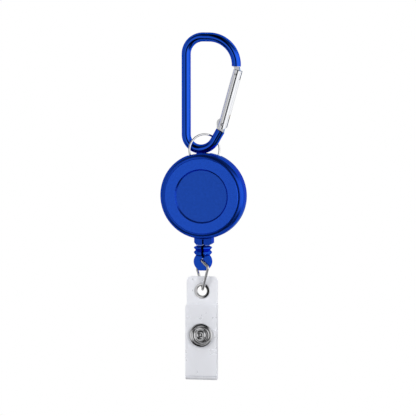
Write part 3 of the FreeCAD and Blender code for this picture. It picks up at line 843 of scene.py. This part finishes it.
@dataclass
class ReelCase:
    """The round case, its collar and what is inside it."""

    centre: Point = (CASE_X, 0.0, CASE_Z)
    spring_turns: float = 8.0
    spring_inner: float = 1.75
    spring_outer: float = 5.5
    spring_y: float = -0.9
    spring_wide: float = 3.0
    spring_thick: float = 0.13
    spring_corner: float = 0.03
    spring_steps: int = 48
    layer_radii: tuple[float, ...] = (6.9, 7.58, 8.26)
    turns_across: int = 3
    turn_steps: int = 72
    cord_radius: float = 0.35
    cord_facets: int = 10
    first_turn_y: float = -0.75

    def build(self, frame: dict) -> list[str]:
        """Dress the shells and wind what is inside. Args: the loaded frame. Returns: the parts' names."""
        for node in ("front_case", "back_case", "cord_guide", "bail_post"):
            dress_node(frame, node, CASE_BLUE)
        for node in ("spool", "spring_cover", "friction_washer"):
            dress_node(frame, node, WHITE)
        dress_node(frame, "axle_screw", PIN_STEEL)
        self.clock_spring()
        self.winding()
        return ["front_case", "back_case", "cord_guide", "clock_spring", "cord_winding_turns"]

    def clock_spring(self) -> bpy.types.Object:
        """Wind the flat spring inside the spool. Returns: the spring."""
        turned = Matrix.Rotation(-math.pi / 2, 3, "X")
        spring = grown("clock_spring", strip_coil_tree(SPRING.material()), {
            "Turns": self.spring_turns, "Steps": self.spring_steps, "Inner Radius": self.spring_inner * MM,
            "Outer Radius": self.spring_outer * MM, "Rise": 0.0, "Strip Width": self.spring_wide * MM,
            "Strip Thickness": self.spring_thick * MM, "Corner": self.spring_corner * MM,
            "Turned": turned.to_euler(),
            "Placed": (Vector(self.centre) + Vector((0, self.spring_y, 0))) * MM})
        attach(spring, "reel_case")
        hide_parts("main_spring")
        return spring

    def winding(self) -> bpy.types.Object:
        """Lay the turns of cord on the spool. Returns: the winding."""
        tree = winding_tree(BRAID.material())
        layers = []
        for index, radius in enumerate(self.layer_radii):
            first = Vector(self.centre) + Vector((0, self.first_turn_y, 0))
            layers.append(grown(f"cord_layer_{index}", tree, {
                "Turns Across": self.turns_across, "Layer Radius": radius * MM,
                "Turn Steps": self.turn_steps, "Cord Radius": self.cord_radius * MM,
                "Cord Facets": self.cord_facets, "First Turn": first * MM}))
        whole = joined("cord_winding_turns", layers)
        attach(whole, "spool")
        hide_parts("cord_winding")
        return whole


def joined(name: str, parts: list[bpy.types.Object]) -> bpy.types.Object:
    """Join several plain meshes that share one material.

    Args:
        name: the joined piece's name.
        parts: the pieces, which are removed.

    Returns:
        The joined piece.
    """
    points, faces, smooth = [], [], []
    for part in parts:
        base = len(points)
        points += [tuple(v.co) for v in part.data.vertices]
        faces += [[base + i for i in f.vertices] for f in part.data.polygons]
        smooth += [f.use_smooth for f in part.data.polygons]
    mesh = bpy.data.meshes.new(name)
    mesh.from_pydata(points, [], faces)
    mesh.polygons.foreach_set("use_smooth", smooth)
    mesh.materials.append(parts[0].data.materials[0])
    for part in parts:
        bpy.data.objects.remove(part)
    return shown(name, mesh)


@dataclass
class Cord:
    """The cord from the spool to the connector, and its end in the connector's slit."""

    x: float = CASE_X
    radius: float = 0.35
    case_z: float = CASE_Z
    winding_radius: float = 9.1
    mouth_z: float = -71.2
    end_z: float = -75.62
    facets: int = 14
    pull_bend: float = 3.0
    lead_spacing: float = 0.02
    stretch_from: float = -1.0
    end_spacing: float = 0.1
    end_path: tuple[Point, ...] = (
        (0.0, 0.0, -75.6), (0.0, 0.0, -76.4), (-0.55, -0.55, -77.7), (-0.5, -0.55, -78.7),
        (-0.1, -0.2, -79.7), (-0.2, 0.0, -80.3))
    end_bends: tuple[float, ...] = (1.0, 0.8, 0.8, 0.6)

    def build(self) -> list[str]:
        """Make the running cord and the end inside the connector. Returns: the pieces' names."""
        mouth = Vector((self.x, 0, self.mouth_z))
        leaves = math.acos(self.winding_radius / (self.case_z - self.mouth_z)) - math.pi / 2
        rise = Vector((self.x + self.winding_radius * math.cos(leaves), 0,
                       self.case_z + self.winding_radius * math.sin(leaves)))
        bend = filleted([rise * MM, mouth * MM, metres((self.x, 0, self.end_z))], [self.pull_bend * MM])
        dense = evened(bend, self.lead_spacing * MM)
        tree = sweep_tree(BRAID.material())
        lead = grown("cord_lead_braid", tree, {
            "Section Radius": self.radius * MM, "Section Facets": self.facets}, dense)
        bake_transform(lead)
        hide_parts("cord_lead")
        corners = [metres((self.x + x, y, z)) for x, y, z in self.end_path]
        run = evened(filleted(corners, [r * MM for r in self.end_bends]), self.end_spacing * MM)
        end = grown("cord_end_braid", tree, {
            "Section Radius": self.radius * MM, "Section Facets": self.facets}, run)
        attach(end, "connector")
        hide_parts("cord_knot")
        return [lead.name, end.name]


@dataclass
class WireLink:
    """The bent wire loop between the connector's eye and the strap's eyelet."""

    eye: Point = (-1.4, 0.0, -81.2)
    foot: Point = (-1.5, 0.0, -91.95)
    radius: float = 0.5
    fillets: tuple[float, ...] = (0.6, 0.9, 0.62, 0.62, 0.9, 0.6)
    facets: int = 28
    bend_step_deg: float = 5.0
    from_eye: tuple[Point, ...] = ((0, -0.03, 0), (0, -2.15, 0), (2.45, -2.15, -2.5))
    from_foot: tuple[Point, ...] = ((0.25, -1.3, 0), (-0.25, 1.3, 0))
    to_eye: tuple[Point, ...] = ((-2.75, 2.15, -3.4), (0, 2.15, 0), (0, 0.03, 0))

    def build(self) -> bpy.types.Object:
        """Bend the wire and hang it on its body. Returns: the link."""
        eye, foot = Vector(self.eye), Vector(self.foot)
        corners = [*(eye + Vector(c) for c in self.from_eye), *(foot + Vector(c) for c in self.from_foot),
                   *(eye + Vector(c) for c in self.to_eye)]
        run = filleted([c * MM for c in corners], [r * MM for r in self.fillets], self.bend_step_deg)
        link = grown("wire_link_bent", sweep_tree(BRIGHT_NICKEL.material()), {
            "Section Radius": self.radius * MM, "Section Facets": self.facets}, run)
        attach(link, "link")
        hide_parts("wire_link")
        return link


@dataclass
class Strap:
    """The vinyl strap: one strip with rounded ends, folded up in front of itself."""

    x: float = -1.65
    half: float = 5.92
    thickness: float = 0.55
    top_z: float = -87.2
    top_corner: float = 1.9
    flap_top_z: float = -97.4
    flap_corner: float = 1.2
    fold_z: float = -124.3
    layer_gap: float = 1.7
    eyelet: Point = (-1.7, 0.0, -92.6)
    eyelet_hole: float = 1.85
    hole_facets: int = 48
    punch_depth: float = 1.6
    edge_round: float = 0.12
    edge_segments: int = 2
    edge_angle_deg: float = 50.0
    crisp_angle_deg: float = 40.0
    columns: int = 12
    back_steps: int = 40
    fold_steps: int = 24
    front_steps: int = 30
    corner_steps: int = 8
    bend_starts_y: float = -0.35
    bend_ends_y: float = -1.9

    @property
    def pitch(self) -> float:
        """Distance between the middles of the two layers."""
        return self.thickness + self.layer_gap

    def centre_line(self) -> list[tuple[float, float, float, float]]:
        """The strip's middle line from its top end over the fold to the flap's end.

        Returns:
            For each station: y, z, and the outward normal's y and z.
        """
        ends = [self.top_z - d for d in self.end_steps(self.top_corner)]
        back = ends + [self.fold_z + (ends[-1] - self.fold_z) * (1 - i / self.back_steps)
                       for i in range(1, self.back_steps)]
        stations = [(0.0, z, 1.0, 0.0) for z in back]
        radius = self.pitch / 2
        for i in range(self.fold_steps + 1):
            angle = math.pi * i / self.fold_steps
            stations.append((-radius + radius * math.cos(angle), self.fold_z - radius * math.sin(angle),
                             math.cos(angle), -math.sin(angle)))
        tops = [self.flap_top_z - d for d in self.end_steps(self.flap_corner)][::-1]
        front = [self.fold_z + (tops[0] - self.fold_z) * i / self.front_steps
                 for i in range(1, self.front_steps)] + tops
        return stations + [(-self.pitch, z, -1.0, 0.0) for z in front]

    def end_steps(self, corner: float) -> list[float]:
        """Where an end's rounded corners are sampled. Args: their radius. Returns: depths from the end."""
        steps = self.corner_steps
        return [corner * (1 - math.cos(math.pi / 2 * i / steps)) for i in range(steps + 1)]

    def half_at(self, station: int, total: int, z: float) -> float:
        """The strip's half width at a station.

        Args:
            station: its index.
            total: how many stations there are.
            z: its height.

        Returns:
            The half width.
        """
        first = station < total / 2
        corner, end = (self.top_corner, self.top_z) if first else (self.flap_corner, self.flap_top_z)
        depth = end - z
        if depth >= corner:
            return self.half
        return self.half - corner + math.sqrt(max(0.0, corner ** 2 - (corner - depth) ** 2))

    def build(self, frame: dict) -> list[str]:
        """Make the strap and dress its eyelet and snap.

        Args:
            frame: what load() returned.

        Returns:
            The names of the main pieces.
        """
        strap = self.holed(self.folded_strip())
        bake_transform(strap)
        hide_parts("strap_back", "strap_flap")
        for node in ("eyelet", "eyelet_washer", "snap_post", "snap_stud", "snap_socket", "snap_cap"):
            dress_node(frame, node, BRIGHT_NICKEL)
        return [strap.name, "eyelet", "snap_cap"]

    def folded_strip(self) -> bpy.types.Mesh:
        """Lay a closed strip of even thickness along the middle line. Returns: its mesh."""
        line, columns = self.centre_line(), self.columns
        points, faces = [], []
        for side in (0.5, -0.5):
            for i, (y, z, ny, nz) in enumerate(line):
                flat_z = z if abs(ny) == 1.0 else self.fold_z
                half = self.half_at(i, len(line), flat_z)
                for c in range(columns + 1):
                    across = self.x + half * (2 * c / columns - 1)
                    points.append((across * MM, (y + side * self.thickness * ny) * MM,
                                   (z + side * self.thickness * nz) * MM))
        row, sheet = columns + 1, len(line) * (columns + 1)
        for i in range(len(line) - 1):
            for c in range(columns):
                a = i * row + c
                faces.append((a, a + 1, a + 1 + row, a + row))
                faces.append((sheet + a, sheet + a + row, sheet + a + 1 + row, sheet + a + 1))
            for edge, flip in ((0, False), (columns, True)):
                a, b = i * row + edge, (i + 1) * row + edge
                wall = (a, b, sheet + b, sheet + a)
                faces.append(wall[::-1] if flip else wall)
        for i, flip in ((0, True), (len(line) - 1, False)):
            for c in range(columns):
                a = i * row + c
                wall = (a, a + 1, sheet + a + 1, sheet + a)
                faces.append(wall[::-1] if flip else wall)
        mesh = bpy.data.meshes.new("vinyl_strap")
        mesh.from_pydata(points, [], faces)
        return mesh

    def holed(self, mesh: bpy.types.Mesh) -> bpy.types.Object:
        """Round the strip's edges and punch the eyelet's hole.

        Args:
            mesh: the folded strip, closed.

        Returns:
            The strip as a plain mesh piece.
        """
        work = bmesh.new()
        work.from_mesh(mesh)
        bmesh.ops.recalc_face_normals(work, faces=work.faces)
        work.to_mesh(mesh)
        work.free()
        mesh.materials.append(VINYL.material())
        blank = shown("strap_blank", mesh)
        punch_mesh = bpy.data.meshes.new("punch")
        work = bmesh.new()
        place = Matrix.Translation(metres(self.eyelet)) @ Matrix.Rotation(math.pi / 2, 4, "X")
        bmesh.ops.create_cone(work, cap_ends=True, segments=self.hole_facets,
                              radius1=self.eyelet_hole * MM, radius2=self.eyelet_hole * MM,
                              depth=self.punch_depth * MM, matrix=place)
        work.to_mesh(punch_mesh)
        work.free()
        punch = shown("punch", punch_mesh)
        cut = blank.modifiers.new("eyelet_hole", "BOOLEAN")
        cut.operation, cut.object, cut.solver = "DIFFERENCE", punch, "EXACT"
        rounding = blank.modifiers.new("edge_round", "BEVEL")
        rounding.width, rounding.segments = self.edge_round * MM, self.edge_segments
        rounding.limit_method, rounding.angle_limit = "ANGLE", math.radians(self.edge_angle_deg)
        graph = bpy.context.evaluated_depsgraph_get()
        result = bpy.data.meshes.new_from_object(blank.evaluated_get(graph))
        for spare in (blank, punch):
            bpy.data.objects.remove(spare)
        result.shade_smooth()
        result.set_sharp_from_angle(angle=math.radians(self.crisp_angle_deg))
        return shown("vinyl_strap", result)


@dataclass
class Connector:
    """The ribbed plastic connector on the cord's end."""

    def build(self, frame: dict) -> list[str]:
        """Dress the connector. Args: the loaded frame. Returns: its name."""
        dress_node(frame, "connector_body", PLAIN_BLUE)
        return ["connector_body"]


# ---------------------------------------------------------------------------------------------
# Studio
# ---------------------------------------------------------------------------------------------


@dataclass(frozen=True)
class SoftBox:
    """An area light: where it stands, seen from the object, its size in metres and its power in watts."""

    name: str
    azimuth: float
    elevation: float
    distance: float
    wide: float
    high: float
    power: float


@dataclass(frozen=True)
class Shade:
    """A dark part of the tent: it begins at start along the axis and has its full depth at end."""

    axis: Point
    start: float
    end: float
    depth: float


@dataclass
class Studio:
    """A white tent with a few dark sides, a pale floor, soft boxes and the camera."""

    target: Point = (0.74, -1.0, -61.67)
    azimuth: float = 13.0
    elevation: float = 5.0
    distance: float = 2.4
    view_wide: float = 0.15407
    sensor: float = 36.0
    clip: tuple[float, float] = (0.01, 20.0)
    floor_z: float = -0.85
    floor_radius: float = 0.6
    floor_edges: int = 96
    floor_grey: float = 0.86
    floor_roughness: float = 0.8
    surround: float = 0.92
    behind: float = 0.62
    behind_band: tuple[float, float] = (-0.6, 0.1)
    ahead_band: tuple[float, float] = (-0.25, 0.15)
    right_gain: float = 1.5
    right_band: tuple[float, float] = (0.1, 0.6)
    slot_centre: float = -0.14
    slot_half: float = 0.26
    slot_soft: float = 0.4
    slot_depth: float = 0.9
    slot_top: tuple[float, float] = (0.85, 1.05)
    shades: tuple[Shade, ...] = (
        Shade((0.0, 0.0, 1.0), 0.2, 0.65, 0.78),
        Shade((0.0, 0.0, -1.0), 0.2, 0.6, 0.85),
        Shade((-0.98, -0.2, 0.0), 0.35, 0.8, 0.45),
    )
    boxes: tuple[SoftBox, ...] = (
        SoftBox("soft_left", -40.0, 30.0, 0.8, 0.4, 0.4, 4.0),
        SoftBox("soft_right", 50.0, 15.0, 0.8, 0.4, 0.4, 3.2),
    )

    def build(self) -> None:
        """Set up the surroundings, the floor, the lights and the camera."""
        scene = bpy.context.scene
        scene.view_settings.view_transform = "Standard"
        self.world(scene)
        self.floor()
        for box in self.boxes:
            self.light(box)
        self.camera(scene)

    def world(self, scene: bpy.types.Scene) -> None:
        """White to the eye, and a tent with dark sides to everything else. Args: the scene."""
        world = bpy.data.worlds.new("white_tent")
        scene.world = world
        world.use_nodes = True
        tree = world.node_tree
        tree.nodes.clear()
        seen = add_node(tree, "ShaderNodeBackground", Color=(1, 1, 1, 1))
        felt = add_node(tree, "ShaderNodeBackground", Color=(1, 1, 1, 1), Strength=self.tent(tree))
        path = tree.nodes.new("ShaderNodeLightPath").outputs
        straight = maths(tree, "MAXIMUM", path["Is Camera Ray"], path["Is Transmission Ray"])
        mix = add_node(tree, "ShaderNodeMixShader", straight, felt.outputs[0], seen.outputs[0])
        add_node(tree, "ShaderNodeOutputWorld", Surface=mix.outputs[0])

    def tent(self, tree: bpy.types.NodeTree) -> bpy.types.NodeSocket:
        """The tent's brightness in each direction.

        Args:
            tree: the world's tree.

        Returns:
            The brightness socket.
        """
        way = tree.nodes.new("ShaderNodeTexCoord").outputs["Generated"]
        front = self.away(self.azimuth, 0.0)
        side = Vector((-front.y, front.x, 0.0))

        def along(axis: Point | Vector) -> bpy.types.NodeSocket:
            """The direction's share along an axis. Args: the axis. Returns: its socket."""
            return vector_maths(tree, "DOT_PRODUCT", way, axis)

        def ramp(value: bpy.types.NodeSocket, band: tuple[float, float], low: float = 1.0,
                 high: float = 0.0) -> bpy.types.NodeSocket:
            """A smooth change over a band. Args: the value, band and both ends. Returns: its socket."""
            return add_node(tree, "ShaderNodeMapRange", settings={"interpolation_type": "SMOOTHSTEP"},
                            Value=value, From_Min=band[0], From_Max=band[1], To_Min=low,
                            To_Max=high).outputs["Result"]

        def both(*values: bpy.types.NodeSocket) -> bpy.types.NodeSocket:
            """The product of two values. Args: the values. Returns: its socket."""
            return maths(tree, "MULTIPLY", *values)

        ahead = ramp(along(front), self.ahead_band, 0.0, 1.0)
        light = both(ramp(along(front), self.behind_band, self.behind, 1.0),
                     ramp(along(side), self.right_band, 1.0, self.right_gain))
        for shade in self.shades:
            dark = both(ahead, ramp(along(shade.axis), (shade.start, shade.end), 0.0, shade.depth))
            light = both(light, ramp(dark, (0.0, 1.0)))
        across = maths(tree, "ABSOLUTE", maths(tree, "SUBTRACT", along(side), self.slot_centre))
        height = maths(tree, "ABSOLUTE", along((0.0, 0.0, 1.0)))
        edge = (self.slot_half * (1 - self.slot_soft), self.slot_half * (1 + self.slot_soft))
        slot = both(both(ahead, ramp(across, edge, self.slot_depth)), ramp(height, self.slot_top))
        return both(both(light, ramp(slot, (0.0, 1.0))), self.surround)

    def floor(self) -> None:
        """Lay a round pale floor below the object."""
        turns = [2 * math.pi * i / self.floor_edges for i in range(self.floor_edges)]
        reach = self.floor_radius
        rim = [(reach * math.cos(turn), reach * math.sin(turn), self.floor_z) for turn in turns]
        mesh = bpy.data.meshes.new("pale_floor")
        mesh.from_pydata(rim, [], [tuple(range(len(rim)))])
        paint, tree, shader = new_material("pale_floor")
        fill(tree, shader, Base_Color=(*[self.floor_grey] * 3, 1), Roughness=self.floor_roughness)
        mesh.materials.append(paint)
        shown("pale_floor", mesh)

    def away(self, azimuth: float, elevation: float) -> Vector:
        """The direction from the object to a place. Args: its azimuth and elevation. Returns: it."""
        a, e = math.radians(azimuth), math.radians(elevation)
        return Vector((math.sin(a) * math.cos(e), -math.cos(a) * math.cos(e), math.sin(e)))

    def light(self, box: SoftBox) -> None:
        """Set up one soft box. Args: the box."""
        data = bpy.data.lights.new(box.name, "AREA")
        data.shape, data.size, data.size_y, data.energy = "RECTANGLE", box.wide, box.high, box.power
        lamp = bpy.data.objects.new(box.name, data)
        back = self.away(box.azimuth, box.elevation)
        lamp.location = metres(self.target) + back * box.distance
        lamp.rotation_euler = (-back).to_track_quat("-Z", "Y").to_euler()
        lamp.visible_glossy = False
        bpy.context.scene.collection.objects.link(lamp)

    def camera(self, scene: bpy.types.Scene) -> None:
        """Place the camera in front of the reel. Args: the scene."""
        data = bpy.data.cameras.new("camera")
        data.sensor_width = self.sensor
        data.lens = self.sensor * self.distance / self.view_wide
        data.clip_start, data.clip_end = self.clip
        eye = bpy.data.objects.new("camera", data)
        back = self.away(self.azimuth, self.elevation)
        eye.location = metres(self.target) + back * self.distance
        eye.rotation_euler = (-back).to_track_quat("-Z", "Y").to_euler()
        scene.collection.objects.link(eye)
        scene.camera = eye


def main() -> None:
    """Build every sub-assembly in order and report each."""
    logging.basicConfig(level=logging.INFO, format="%(name)s: %(message)s")
    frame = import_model()
    LOG.info("carabiner: %s", Carabiner().build(frame))
    LOG.info("split ring: %s", SplitRing().build().name)
    LOG.info("reel case: %s", ReelCase().build(frame))
    LOG.info("cord: %s", Cord().build())
    LOG.info("connector: %s", Connector().build(frame))
    LOG.info("wire link: %s", WireLink().build().name)
    LOG.info("strap: %s", Strap().build(frame))
    Studio().build()


if __name__ == "__main__":
    main()
